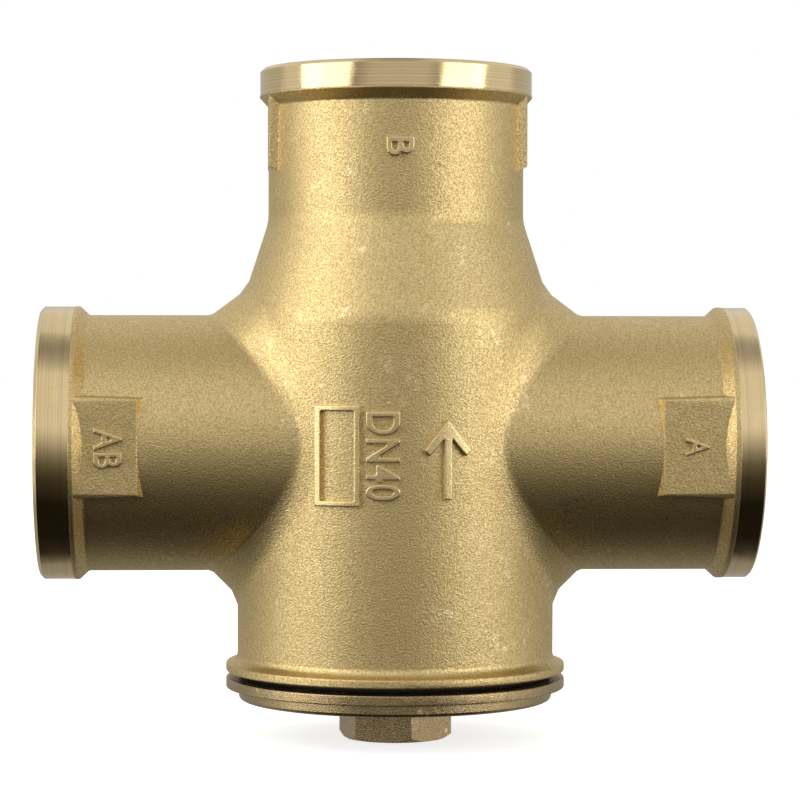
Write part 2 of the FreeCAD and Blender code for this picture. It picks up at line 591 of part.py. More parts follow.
def guide_collar():
    """Brass collar that guides the element on the piston and closes the capsule."""
    groove_r = COLLAR_SHANK_R - GROOVE_DEPTH
    foot = DISC_TOP - COLLAR_SHANK_BELOW
    return turned([
        (PISTON_BORE_R, foot), (COLLAR_SHANK_R - 1.5, foot), (COLLAR_SHANK_R, foot + 1.5),
        (COLLAR_SHANK_R, DISC_BOTTOM - CLIP_THICKNESS), (groove_r, DISC_BOTTOM - CLIP_THICKNESS),
        (groove_r, DISC_BOTTOM), (COLLAR_SHANK_R, DISC_BOTTOM), (COLLAR_SHANK_R, DISC_TOP),
        (CAPSULE_R, DISC_TOP, 0.5), (CAPSULE_R, HEAD_TOP), (PISTON_BORE_R, HEAD_TOP),
    ])


def boot_radius():
    """Outside of the rubber sleeve."""
    return PISTON_BORE_R + BOOT_WALL


def capsule_boot():
    """Rubber sleeve between the wax and the piston."""
    inner_top = TIP_Z + BOOT_TIP_GAP
    return turned([
        (PISTON_BORE_R, HEAD_TOP), (boot_radius(), HEAD_TOP),
        (boot_radius(), inner_top + BOOT_END, BOOT_DOME), (0, inner_top + BOOT_END), (0, inner_top),
        (PISTON_BORE_R, inner_top, 1.0),
    ])


def wax_charge():
    """Expanding wax that fills the capsule round the boot."""
    top = STEM_START - CAPSULE_WALL
    fill = turned([
        (0, HEAD_TOP), (CAPSULE_R - CAPSULE_WALL, HEAD_TOP),
        (CAPSULE_R - CAPSULE_WALL, top, CAPSULE_DOME - CAPSULE_WALL), (0, top),
    ])
    core = turned([
        (0, HEAD_TOP), (boot_radius(), HEAD_TOP),
        (boot_radius(), TIP_Z + BOOT_TIP_GAP + BOOT_END, BOOT_DOME), (0, TIP_Z + BOOT_TIP_GAP + BOOT_END),
    ])
    return fill.cut(core)


def wax_capsule():
    """Drawn copper cup with the stem that carries the bypass disc."""
    inner_r, inner_top = CAPSULE_R - CAPSULE_WALL, STEM_START - CAPSULE_WALL
    groove_r = STEM_R - GROOVE_DEPTH / 2
    return turned([
        (inner_r, HEAD_TOP), (CAPSULE_R, HEAD_TOP), (CAPSULE_R, STEM_START, CAPSULE_DOME),
        (STEM_R, STEM_START), (STEM_R, BYPASS_TOP + SEAT_CLEARANCE), (groove_r, BYPASS_TOP + SEAT_CLEARANCE),
        (groove_r, BYPASS_TOP + SEAT_CLEARANCE + CLIP_THICKNESS),
        (STEM_R, BYPASS_TOP + SEAT_CLEARANCE + CLIP_THICKNESS), (STEM_R, STEM_TOP, 0.6), (0, STEM_TOP),
        (0, inner_top), (inner_r, inner_top, CAPSULE_DOME - CAPSULE_WALL),
    ])


def bypass_disc():
    """Steel disc that closes the hot seat, free to slide down the stem."""
    return turned([
        (STEM_R + BYPASS_CLEARANCE, BYPASS_BOTTOM), (BYPASS_R, BYPASS_BOTTOM, 0.4),
        (BYPASS_R, BYPASS_TOP, 0.4), (STEM_R + BYPASS_CLEARANCE, BYPASS_TOP),
    ])


def bypass_clip():
    """Clip that keeps the bypass disc on the stem."""
    low = BYPASS_TOP + SEAT_CLEARANCE
    return open_clip(STEM_R - GROOVE_DEPTH / 2, BYPASS_CLIP_R, low, low + CLIP_THICKNESS)


NODES = {
    "valve_body": valve_body, "cover": cover, "cover_o_ring": cover_o_ring,
    "hold_down_spring": hold_down_spring, "flange_gasket": flange_gasket, "seat_plate": seat_plate,
    "piston_bridge": piston_bridge, "piston": piston, "spring_cage": spring_cage,
    "main_spring": main_spring, "main_valve_disc": main_valve_disc, "main_disc_seal": main_disc_seal,
    "main_disc_clip": main_disc_clip, "guide_collar": guide_collar, "capsule_boot": capsule_boot,
    "wax_charge": wax_charge, "wax_capsule": wax_capsule, "bypass_disc": bypass_disc,
    "bypass_spring": bypass_spring, "bypass_clip": bypass_clip,
}

os.makedirs("parts", exist_ok=True)
for name, make in NODES.items():
    shape = make()
    shape.translate(Z * AXIS_Z)
    shape.exportStep("parts/" + name + ".step")
    box = shape.BoundBox
    print(name, "valid" if shape.isValid() else "NOT VALID", len(shape.Solids), "solid",
          round(shape.Volume, 1), "mm3", [round(v, 2) for v in (
              box.XMin, box.XMax, box.YMin, box.YMax, box.ZMin, box.ZMax)])
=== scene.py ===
"""Visual model of a three-way thermostatic mixing valve.

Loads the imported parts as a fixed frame, dresses the casting, the cover and the
insert in the finishes of the real ones, adds what the construction leaves plain
(port threads, cover thread, raised cast marks, wound springs) and sets up the
studio.  Lengths are in metres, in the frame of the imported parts.
"""
import logging
import math
from collections.abc import Callable
from dataclasses import dataclass, field
from enum import Enum

import bpy
from mathutils import Matrix, Quaternion, Vector
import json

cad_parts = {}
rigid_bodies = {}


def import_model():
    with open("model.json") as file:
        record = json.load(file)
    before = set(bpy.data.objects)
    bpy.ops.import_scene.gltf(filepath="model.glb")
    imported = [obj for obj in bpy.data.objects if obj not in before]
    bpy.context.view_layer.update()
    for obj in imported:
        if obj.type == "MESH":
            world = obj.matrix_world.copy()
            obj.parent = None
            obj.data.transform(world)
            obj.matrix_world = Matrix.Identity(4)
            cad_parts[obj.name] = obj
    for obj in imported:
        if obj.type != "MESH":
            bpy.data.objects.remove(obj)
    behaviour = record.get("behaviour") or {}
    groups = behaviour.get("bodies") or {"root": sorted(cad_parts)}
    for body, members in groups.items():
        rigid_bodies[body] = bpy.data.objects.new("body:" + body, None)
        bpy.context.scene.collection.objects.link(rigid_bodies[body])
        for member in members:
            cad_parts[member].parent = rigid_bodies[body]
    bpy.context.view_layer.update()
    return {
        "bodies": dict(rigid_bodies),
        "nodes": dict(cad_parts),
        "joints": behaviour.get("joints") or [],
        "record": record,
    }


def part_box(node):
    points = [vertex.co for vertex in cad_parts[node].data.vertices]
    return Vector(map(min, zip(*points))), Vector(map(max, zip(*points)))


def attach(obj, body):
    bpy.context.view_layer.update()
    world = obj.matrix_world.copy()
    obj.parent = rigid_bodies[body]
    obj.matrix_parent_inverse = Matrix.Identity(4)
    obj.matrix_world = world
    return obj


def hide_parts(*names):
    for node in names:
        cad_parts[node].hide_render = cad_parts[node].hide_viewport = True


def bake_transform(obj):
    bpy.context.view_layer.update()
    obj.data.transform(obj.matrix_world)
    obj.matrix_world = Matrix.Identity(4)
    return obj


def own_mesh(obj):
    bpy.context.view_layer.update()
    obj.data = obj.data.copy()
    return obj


LOG = logging.getLogger("mixing_valve")
MM = 0.001
MERGE = 1e-6          # vertices nearer than this are one
SMOOTH_ANGLE = 28.0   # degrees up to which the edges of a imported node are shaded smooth


# ---- colour and shader helpers ------------------------------------------------
def linear(hex_code: str) -> tuple[float, float, float, float]:
    """Turn an sRGB hex colour into linear RGBA.

    Args:
        hex_code: six hex digits, without a hash.

    Returns:
        The linear colour with alpha 1.
    """
    channels = [int(hex_code[i:i + 2], 16) / 255 for i in (0, 2, 4)]
    straight = [c / 12.92 if c <= 0.04045 else ((c + 0.055) / 1.055) ** 2.4 for c in channels]
    return (straight[0], straight[1], straight[2], 1.0)


def put(tree: bpy.types.NodeTree, kind: str, inputs: dict | None = None,
        **settings: object) -> bpy.types.Node:
    """Add one shader node with its settings, values and links.

    Args:
        tree: node tree that gets the node.
        kind: Blender's type name of the node.
        inputs: input name or index to a value, or to the output socket linked to it.
        settings: attributes of the node itself.

    Returns:
        The new node.
    """
    node = tree.nodes.new(kind)
    for name, value in settings.items():
        setattr(node, name, value)
    for key, value in (inputs or {}).items():
        if isinstance(value, bpy.types.NodeSocket):
            tree.links.new(value, node.inputs[key])
        else:
            node.inputs[key].default_value = value
    return node


def ramp(tree: bpy.types.NodeTree, factor: bpy.types.NodeSocket,
         stops: list[tuple[float, tuple]]) -> bpy.types.Node:
    """Add a colour ramp.

    Args:
        tree: node tree that gets the ramp.
        factor: socket that drives it.
        stops: (position, linear colour) from left to right.

    Returns:
        The ramp node.
    """
    node = put(tree, "ShaderNodeValToRGB", {"Fac": factor})
    elements = node.color_ramp.elements
    while len(elements) < len(stops):
        elements.new(0.5)
    for element, (position, colour) in zip(elements, stops):
        element.position = position
        element.color = colour
    return node


def noise(tree: bpy.types.NodeTree, where: bpy.types.NodeSocket, grain_mm: float, detail: float,
          roughness: float = 0.5) -> bpy.types.NodeSocket:
    """Add fractal noise.

    Args:
        tree: node tree that gets it.
        where: its coordinates.
        grain_mm: size of its largest grains.
        detail: how many finer layers it has.
        roughness: how much the finer layers count.

    Returns:
        Socket of its value.
    """
    node = put(tree, "ShaderNodeTexNoise", {"Vector": where, "Scale": 1 / (grain_mm * MM),
                                            "Detail": detail, "Roughness": roughness})
    return node.outputs["Fac"]


def remap(tree: bpy.types.NodeTree, value: bpy.types.NodeSocket, start: tuple[float, float] = (0.0, 1.0),
          end: tuple[float, float] = (0.0, 1.0)) -> bpy.types.NodeSocket:
    """Stretch one range of values over another, and clamp what lies outside.

    Args:
        tree: node tree that gets the node.
        value: socket to stretch.
        start: the range it comes from.
        end: the range it goes to.

    Returns:
        Socket of the result.
    """
    node = put(tree, "ShaderNodeMapRange", {"Value": value, "From Min": start[0], "From Max": start[1],
                                            "To Min": end[0], "To Max": end[1]})
    return node.outputs["Result"]


def bump(tree: bpy.types.NodeTree, height: bpy.types.NodeSocket, depth_mm: float,
         normal: bpy.types.NodeSocket | None = None) -> bpy.types.NodeSocket:
    """Lay a relief over a surface direction.

    Args:
        tree: node tree that gets the node.
        height: height of the relief, from 0 to 1.
        depth_mm: depth of a step from 0 to 1.
        normal: direction that it lies on, or None for the mesh's own.

    Returns:
        Socket of the new direction.
    """
    inputs = {"Height": height, "Strength": 1.0, "Distance": depth_mm * MM}
    if normal is not None:
        inputs["Normal"] = normal
    return put(tree, "ShaderNodeBump", inputs).outputs["Normal"]


def start_material(name: str) -> tuple[bpy.types.Material, bpy.types.NodeTree, bpy.types.Node,
                                       bpy.types.Node]:
    """Make a node material with only its output and coordinates.

    Args:
        name: name of the material.

    Returns:
        The material, its tree, its output node and its coordinate node.
    """
    material = bpy.data.materials.new(name)
    material.use_nodes = True
    tree = material.node_tree
    tree.nodes.clear()
    return (material, tree, put(tree, "ShaderNodeOutputMaterial"), put(tree, "ShaderNodeTexCoord"))


def shade(tree: bpy.types.NodeTree, output: bpy.types.Node, inputs: dict) -> None:
    """Finish a material with one principled shader.

    Args:
        tree: the material's tree.
        output: its output node.
        inputs: the shader's inputs, as for put.
    """
    shader = put(tree, "ShaderNodeBsdfPrincipled", inputs)
    tree.links.new(shader.outputs["BSDF"], output.inputs["Surface"])


# ---- finishes -------------------------------------------------------------------
class Axis(Enum):
    """Axis that a surface was turned about."""

    X = (1.0, 0.0, 0.0)
    Z = (0.0, 0.0, 1.0)


@dataclass(frozen=True)
class ShotBlastedBrass:
    """Cast brass cleaned with steel shot: a satin skin of fine dents that sparkle, khaki gold.

    Edges of a casting are never sharp, so corners take the light over a small radius.
    """

    name: str = "shot_blasted_brass"
    peak: str = "E5D09B"
    hollow: str = "C6AD78"
    wear_and_glint: str = "F3E2B4"
    dent_mm: float = 0.36
    dent_depth_mm: float = 0.085
    grit_mm: float = 0.17
    grit_depth_mm: float = 0.03
    ripple_mm: float = 7.0
    ripple_depth_mm: float = 0.05
    pit_spacing_mm: float = 8.0
    pit_mm: float = 0.32
    pit_depth_mm: float = 0.12
    scratch_spacing_mm: float = 13.0
    scratch_mm: float = 0.2
    rub_mm: float = 9.0
    fleck_mm: float = 1.3
    speck_spacing_mm: float = 3.5
    speck_mm: float = 0.22
    edge_radius_mm: float = 0.25
    roughness: float = 0.45
    worn_roughness: float = 0.33

    def relief(self, tree: bpy.types.NodeTree, place: bpy.types.NodeSocket,
               dents: bpy.types.NodeSocket) -> bpy.types.NodeSocket:
        """Lay the unevenness, pits, nicks, dents and grit over the rounded edges.

        Args:
            tree: the material's tree.
            place: object coordinates.
            dents: height of the dents.

        Returns:
            Socket of the finished surface direction.
        """
        edges = put(tree, "ShaderNodeBevel", {"Radius": self.edge_radius_mm * MM}, samples=4)
        # The skin of the mould shows as a slow unevenness under the dents.
        ripple = noise(tree, place, self.ripple_mm, 3.0)
        surface = bump(tree, ripple, self.ripple_depth_mm, edges.outputs["Normal"])
        # A few gas pits far apart, and fewer long nicks from handling.
        long_way = put(tree, "ShaderNodeMapping", {"Vector": place, "Rotation": (0.6, 0.5, 0.9),
                                                  "Scale": (1.0, 1.0, 0.07)})
        for where, spacing, wide in ((place, self.pit_spacing_mm, self.pit_mm),
                                     (long_way.outputs["Vector"], self.scratch_spacing_mm, self.scratch_mm)):
            cells = put(tree, "ShaderNodeTexVoronoi", {"Vector": where, "Scale": 1 / (spacing * MM)})
            hollow = remap(tree, cells.outputs["Distance"], (0.4 * wide / spacing, wide / spacing))
            surface = bump(tree, hollow, self.pit_depth_mm, surface)
        # Shot leaves overlapping dents, with the grit's finer marks in them.
        surface = bump(tree, dents, self.dent_depth_mm, surface)
        return bump(tree, noise(tree, place, self.grit_mm, 1.0), self.grit_depth_mm, surface)

    def wear_and_glints(self, tree: bpy.types.NodeTree, place: bpy.types.NodeSocket) -> bpy.types.NodeSocket:
        """Pick out what rubbed in the drum, broken pale patches, and single specks painted pale as glints.

        Args:
            tree: the material's tree.
            place: object coordinates.

        Returns:
            Socket that is 1 on the burnished patches and on the specks of painted glint, and 0 elsewhere.
        """
        rubbed = remap(tree, noise(tree, place, self.rub_mm, 3.0, 0.6), (0.58, 0.68))
        flecks = remap(tree, noise(tree, place, self.fleck_mm, 3.0, 0.6), (0.53, 0.62))
        patches = put(tree, "ShaderNodeMath", {0: rubbed, 1: flecks}, operation="MULTIPLY")
        # Tiny pale specks scattered over the skin are painted glints.
        cells = put(tree, "ShaderNodeTexVoronoi", {"Vector": place,
                                                  "Scale": 1 / (self.speck_spacing_mm * MM)})
        reach = self.speck_mm / self.speck_spacing_mm
        glint_specks = remap(tree, cells.outputs["Distance"], (0.5 * reach, reach), (1.0, 0.0))
        wear_and_glint = put(tree, "ShaderNodeMath", {0: patches.outputs["Value"], 1: glint_specks}, operation="MAXIMUM")
        return wear_and_glint.outputs["Value"]

    def build(self) -> bpy.types.Material:
        """Return the material."""
        material, tree, output, coords = start_material(self.name)
        place = coords.outputs["Object"]
        dents = noise(tree, place, self.dent_mm, 1.5)
        surface = self.relief(tree, place, dents)
        # Colour follows the dents' height: painted shade in their hollows and a painted highlight on their
        # rims.
        tone = ramp(tree, dents, [(0.36, linear(self.hollow)), (0.64, linear(self.peak))])
        wear_and_glint = self.wear_and_glints(tree, place)
        # The pale colour is wear on the burnished patches and a painted glint on the specks.
        colour = put(tree, "ShaderNodeMix", {0: wear_and_glint, 6: tone.outputs["Color"], 7: linear(self.wear_and_glint)},
                     data_type="RGBA")
        dull = remap(tree, wear_and_glint, end=(self.roughness, self.worn_roughness))
        rims = remap(tree, dents, (0.35, 0.65), (1.12, 0.85))
        polish = put(tree, "ShaderNodeMath", {0: dull, 1: rims}, operation="MULTIPLY")
        shade(tree, output, {"Base Color": colour.outputs[2], "Metallic": 1.0,
                             "Roughness": polish.outputs["Value"], "Normal": surface})
        return material


@dataclass(frozen=True)
class TurnedBrass:
    """Brass cut on a lathe: bright, with feed lines round the axis that draw its highlights out."""

    name: str = "turned_brass"
    axis: Axis = Axis.Z
    centre: tuple[float, float, float] = (0.0, 0.0, 0.0)
    colour: str = "EBD6AB"
    groove: str = "D6BD8C"
    feed_mm: float = 0.42
    line_depth_mm: float = 0.016
    edge_radius_mm: float = 0.12
    roughness: float = 0.15
    smear_scale: float = 260.0
    anisotropy: float = 0.8

    def build(self) -> bpy.types.Material:
        """Return the material."""
        material, tree, output, coords = start_material(self.name)
        arm = put(tree, "ShaderNodeVectorMath", {0: coords.outputs["Object"], 1: self.centre},
                  operation="SUBTRACT")
        around = put(tree, "ShaderNodeVectorMath", {0: self.axis.value, 1: arm.outputs["Vector"]},
                     operation="CROSS_PRODUCT")
        radius = put(tree, "ShaderNodeVectorMath", {0: around.outputs["Vector"]}, operation="LENGTH")
        along = put(tree, "ShaderNodeVectorMath", {0: arm.outputs["Vector"], 1: self.axis.value},
                    operation="DOT_PRODUCT")
        # Height and distance from the axis are all that a tool's path depends on.  The real feed is about
        # 0.15 mm and would not show, so its lines are drawn coarser.
        path = put(tree, "ShaderNodeCombineXYZ", {"X": along.outputs["Value"], "Y": radius.outputs["Value"]})
        lines = noise(tree, path.outputs["Vector"], self.feed_mm, 4.0, 0.75)
        smear = put(tree, "ShaderNodeTexNoise", {"Vector": coords.outputs["Object"],
                                                "Scale": self.smear_scale, "Detail": 3.0})
        gloss = remap(tree, smear.outputs["Fac"], (0.35, 0.65),
                      (self.roughness - 0.04, self.roughness + 0.06))
        rounded = None
        if self.edge_radius_mm > 0:
            edges = put(tree, "ShaderNodeBevel", {"Radius": self.edge_radius_mm * MM}, samples=4)
            rounded = edges.outputs["Normal"]
        direction = put(tree, "ShaderNodeVectorTransform", {"Vector": around.outputs["Vector"]},
                        vector_type="VECTOR", convert_from="OBJECT", convert_to="WORLD")
        tangent = put(tree, "ShaderNodeVectorMath", {0: direction.outputs["Vector"]}, operation="NORMALIZE")
        tone = ramp(tree, lines, [(0.38, linear(self.groove)), (0.55, linear(self.colour))])
        shade(tree, output, {
            "Base Color": tone.outputs["Color"], "Metallic": 1.0, "Roughness": gloss,
            "Anisotropic": self.anisotropy, "Anisotropic Rotation": 0.25,
            "Tangent": tangent.outputs["Vector"], "Normal": bump(tree, lines, self.line_depth_mm, rounded)})
        return material


@dataclass(frozen=True)
class MouldedRubber:
    """Nitrile rubber, moulded: black, dull, with a faint bloom."""

    name: str = "moulded_rubber"
    colour: str = "1A1918"
    roughness: float = 0.6
    bloom_mm: float = 1.1
    skin_mm: float = 0.02

    def build(self) -> bpy.types.Material:
        """Return the material."""
        material, tree, output, coords = start_material(self.name)
        bloom = noise(tree, coords.outputs["Object"], self.bloom_mm, 3.0)
        rough = remap(tree, bloom, end=(self.roughness - 0.1, self.roughness + 0.15))
        shade(tree, output, {"Base Color": linear(self.colour), "Roughness": rough,
                             "Normal": bump(tree, bloom, self.skin_mm)})
        return material


@dataclass(frozen=True)
class FormedMetal:
    """Drawn wire, pressed sheet or drawn tube: even colour, faint marks of the die."""

    name: str = "drawn_steel_wire"
    colour: str = "C9C8C4"
    roughness: float = 0.25
    mark_mm: float = 0.5
    mark_depth_mm: float = 0.008

    def build(self) -> bpy.types.Material:
        """Return the material."""
        material, tree, output, coords = start_material(self.name)
        marks = noise(tree, coords.outputs["Object"], self.mark_mm, 4.0)
        rough = remap(tree, marks, end=(self.roughness - 0.08, self.roughness + 0.14))
        shade(tree, output, {"Base Color": linear(self.colour), "Metallic": 1.0, "Roughness": rough,
                             "Normal": bump(tree, marks, self.mark_depth_mm)})
        return material


@dataclass(frozen=True)
class FilledWax:
    """Paraffin wax filled with copper powder: dull, faintly translucent, tan."""

    name: str = "copper_filled_wax"
    colour: str = "C9A27C"
    powder: str = "A9764E"
    grain_mm: float = 0.4
    roughness: float = 0.55

    def build(self) -> bpy.types.Material:
        """Return the material."""
        material, tree, output, coords = start_material(self.name)
        powder = noise(tree, coords.outputs["Object"], self.grain_mm, 3.0)
        tone = ramp(tree, powder, [(0.35, linear(self.powder)), (0.6, linear(self.colour))])
        shade(tree, output, {"Base Color": tone.outputs["Color"], "Roughness": self.roughness,
                             "Subsurface Weight": 0.1})
        return material


# ---- studio ---------------------------------------------------------------------
@dataclass(frozen=True)
class Lamp:
    """Rectangular lamp that faces the valve."""

    name: str
    azimuth: float               # degrees round the valve, 0 in front, positive to the right
    elevation: float             # degrees above the horizon
    distance: float              # metres from the valve
    size: tuple[float, float]    # width and height in metres
    radiance: float              # brightness of its face, 1 being white

    def build(self, centre: Vector, tint: tuple[float, float, float]) -> None:
        """Add the lamp.

        Args:
            centre: what it faces.
            tint: linear colour of its light.
        """
        a, e = math.radians(self.azimuth), math.radians(self.elevation)
        way = Vector((math.sin(a) * math.cos(e), -math.cos(a) * math.cos(e), math.sin(e)))
        bpy.ops.object.light_add(type="AREA", location=centre + way * self.distance)
        light = bpy.context.object
        light.name = self.name
        light.rotation_euler = (-way).to_track_quat("-Z", "Y").to_euler()
        light.data.shape = "RECTANGLE"
        light.data.color = tint
        light.data.size, light.data.size_y = self.size
        light.data.energy = self.radiance * math.pi * self.size[0] * self.size[1]


@dataclass(frozen=True)
class Studio:
    """Camera, lights, floor and surroundings."""

    camera_distance: float = 0.600
    camera_azimuth: float = -2.77
    camera_height: float = 0.0852
    camera_roll: float = 0.10
    aim: tuple[float, float, float] = (0.00095, 0.0, 0.07097)
    lens: float = 128.2
    lamp_tint: tuple[float, float, float] = (1.0, 0.97, 0.90)
    lamp_aim: tuple[float, float, float] = (0.0, 0.0, 0.07)
    lamps: tuple[Lamp, ...] = (Lamp("left_strip", -64, 18, 0.9, (0.78, 0.9), 2.0),
                               Lamp("right_strip", 56, 10, 0.9, (0.64, 0.6), 2.1))
    floor_size: float = 8.0
    floor_level: float = -0.0002

    def camera(self) -> None:
        """Place the camera at the height of the shoulder, a little to the left."""
        turn = math.radians(self.camera_azimuth)
        where = Vector((math.sin(turn) * self.camera_distance, -math.cos(turn) * self.camera_distance,
                        self.camera_height))
        bpy.ops.object.camera_add(location=where)
        camera = bpy.context.object
        camera.name = "camera"
        level = (Vector(self.aim) - where).to_track_quat("-Z", "Y")
        camera.rotation_euler = (level @ Quaternion((0, 0, 1), math.radians(self.camera_roll))).to_euler()
        camera.data.lens = self.lens
        bpy.context.scene.camera = camera

    def surroundings(self) -> None:
        """White for the camera; for reflections a soft room, dark overhead and below, pale behind."""
        world = bpy.data.worlds.new("studio")
        bpy.context.scene.world = world
        world.use_nodes = True
        tree = world.node_tree
        tree.nodes.clear()
        coords = put(tree, "ShaderNodeTexCoord")
        parts = put(tree, "ShaderNodeSeparateXYZ", {"Vector": coords.outputs["Generated"]})
        up = remap(tree, parts.outputs["Z"], (-1.0, 1.0))
        sideways = put(tree, "ShaderNodeMath", {0: parts.outputs["X"]}, operation="ABSOLUTE")
        front = ramp(tree, up, [
            (0.12, (0.012, 0.010, 0.006, 1)), (0.27, (0.06, 0.05, 0.035, 1)), (0.36, (0.13, 0.12, 0.09, 1)),
            (0.44, (0.27, 0.26, 0.23, 1)), (0.53, (0.54, 0.52, 0.48, 1)), (0.62, (0.80, 0.78, 0.73, 1)),
            (0.94, (0.80, 0.78, 0.73, 1)), (1.0, (0.30, 0.29, 0.27, 1))])
        rear = ramp(tree, up, [
            (0.02, (0.03, 0.025, 0.02, 1)), (0.08, (0.30, 0.29, 0.27, 1)), (0.5, (0.45, 0.44, 0.41, 1)),
            (0.75, (0.78, 0.77, 0.73, 1)), (0.97, (0.78, 0.77, 0.73, 1)), (1.0, (0.30, 0.29, 0.27, 1))])
        # The softbox in front dims towards its sides, and pale walls close the room beside the valve.
        narrow = remap(tree, sideways.outputs["Value"], (0.4, 0.65), (1.0, 0.45))
        beside = remap(tree, sideways.outputs["Value"], (0.88, 0.95))
        back = remap(tree, parts.outputs["Y"], (-0.1, 0.3))
        softbox = put(tree, "ShaderNodeBackground", {"Color": front.outputs["Color"], "Strength": narrow})
        walls = put(tree, "ShaderNodeBackground", {"Color": (0.75, 0.73, 0.68, 1)})
        behind = put(tree, "ShaderNodeBackground", {"Color": rear.outputs["Color"]})
        half = put(tree, "ShaderNodeMixShader", {0: back, 1: softbox.outputs["Background"],
                                                2: behind.outputs["Background"]})
        room = put(tree, "ShaderNodeMixShader", {0: beside, 1: half.outputs["Shader"],
                                                2: walls.outputs["Background"]})
        path = put(tree, "ShaderNodeLightPath")
        white = put(tree, "ShaderNodeBackground", {"Color": (1, 1, 1, 1), "Strength": 1.0})
        both = put(tree, "ShaderNodeMixShader", {0: path.outputs["Is Camera Ray"], 1: room.outputs["Shader"],
                                                2: white.outputs["Background"]})
        output = put(tree, "ShaderNodeOutputWorld", {"Surface": both.outputs["Shader"]})
        output.is_active_output = True

    def floor(self) -> None:
        """Pale floor that the metal does not mirror."""
        bpy.ops.mesh.primitive_plane_add(size=self.floor_size, location=(0, 0, self.floor_level))
        floor = bpy.context.object
        floor.name = "floor"
        material, tree, output, _ = start_material("pale_floor")
        matt = put(tree, "ShaderNodeBsdfDiffuse", {"Color": (0.8, 0.8, 0.8, 1)})
        glow = put(tree, "ShaderNodeEmission", {"Color": (1, 1, 1, 1), "Strength": 0.75})
        both = put(tree, "ShaderNodeAddShader", {0: matt.outputs["BSDF"], 1: glow.outputs["Emission"]})
        tree.links.new(both.outputs["Shader"], output.inputs["Surface"])
        floor.data.materials.append(material)
        floor.visible_glossy = False
        floor.visible_diffuse = False

    def build(self) -> None:
        """Set up the whole studio."""
        self.camera()
        self.surroundings()
        self.floor()
        for lamp in self.lamps:
            lamp.build(Vector(self.lamp_aim), self.lamp_tint)
        scene = bpy.context.scene
        scene.view_settings.view_transform = "Standard"
        scene.view_settings.look = "None"


# ---- modelling helpers -------------------------------------------------------------
def deselect() -> None:
    """Leave nothing selected, in object mode."""
    if bpy.context.object and bpy.context.object.mode != "OBJECT":
        bpy.ops.object.mode_set(mode="OBJECT")
    bpy.ops.object.select_all(action="DESELECT")


def pick(*pieces: bpy.types.Object) -> None:
    """Make these pieces the only selected ones and the last of them active.

    Args:
        pieces: the pieces, at least one.
    """
    deselect()
    for piece in pieces:
        piece.select_set(True)
    bpy.context.view_layer.objects.active = pieces[-1]


def choose(piece: bpy.types.Object, wanted: Callable[[Vector], bool]) -> None:
    """Go into edit mode with only some of a piece's vertices selected.

    Args:
        piece: the piece.
        wanted: tells from a vertex's place whether it is selected.
    """
    pick(piece)
    for part in (piece.data.polygons, piece.data.edges):
        part.foreach_set("select", [False] * len(part))
    piece.data.vertices.foreach_set("select", [wanted(v.co) for v in piece.data.vertices])
    bpy.ops.object.mode_set(mode="EDIT")
    bpy.ops.mesh.select_mode(type="VERT")


def modify(piece: bpy.types.Object, kind: str, **settings: object) -> None:
    """Add a modifier and apply it.

    Args:
        piece: the piece that is changed.
        kind: Blender's type name of the modifier.
        settings: attributes of the modifier.
    """
    pick(piece)
    modifier = piece.modifiers.new(kind.lower(), kind)
    for name, value in settings.items():
        setattr(modifier, name, value)
    bpy.ops.object.modifier_apply(modifier=modifier.name)


def extent(piece: bpy.types.Object) -> tuple[Vector, Vector]:
    """Measure a piece along its own axes.

    Args:
        piece: the piece.

    Returns:
        The lowest and the highest corner of its vertices.
    """
    low = Vector([min(v.co[i] for v in piece.data.vertices) for i in range(3)])
    high = Vector([max(v.co[i] for v in piece.data.vertices) for i in range(3)])
    return low, high


def wind_wedge(outer: float, depth: float, level: float, pitch: float, foot: float, tip: float,
               turns: int, steps: int) -> bpy.types.Object:
    """Wind a wedge-shaped section about the upright axis, its narrow side towards the axis.

    Args:
        outer: radius of the wide side.
        depth: distance from the wide side to the narrow one.
        level: height of the section's middle at the start.
        pitch: rise in one turn.
        foot: height of the wide side, in pitches.
        tip: height of the narrow side, as a share of the wide one.
        turns: number of turns.
        steps: steps in a turn.

    Returns:
        The wound wedge, its ends still open.
    """
    deselect()
    bpy.ops.mesh.primitive_plane_add(size=1, rotation=(math.radians(90), 0, 0))
    wedge = bpy.context.object
    bpy.ops.object.transform_apply(rotation=True)
    choose(wedge, lambda co: True)
    bpy.ops.transform.resize(value=(depth, 1, pitch * foot))
    bpy.ops.transform.translate(value=(outer - depth / 2, 0, level))
    choose(wedge, lambda co: co.x < outer - depth + 0.1 * MM)
    bpy.ops.transform.resize(value=(1, 1, tip))
    deselect()
    modify(wedge, "SCREW", angle=math.tau, screw_offset=pitch, iterations=turns, steps=steps,
           render_steps=steps, use_normal_calculate=True)
    return wedge


def close_ends(piece: bpy.types.Object) -> None:
    """Fill the open ends of a wound piece and turn its faces outwards.

    Args:
        piece: the wound piece.
    """
    choose(piece, lambda co: True)
    bpy.ops.mesh.select_all(action="DESELECT")
    bpy.ops.mesh.select_non_manifold()
    bpy.ops.mesh.edge_face_add()
    bpy.ops.mesh.select_all(action="SELECT")
    bpy.ops.mesh.normals_make_consistent(inside=False)
    deselect()


def settle(piece: bpy.types.Object, angle: float = 30.0) -> None:
    """Move a piece's place into its mesh and shade it smooth.

    Args:
        piece: the piece.
        angle: edges up to this many degrees are shaded smooth.
    """
    pick(piece)
    bpy.ops.object.transform_apply(location=True, rotation=True, scale=True)
    bpy.ops.object.shade_smooth_by_angle(angle=math.radians(angle))


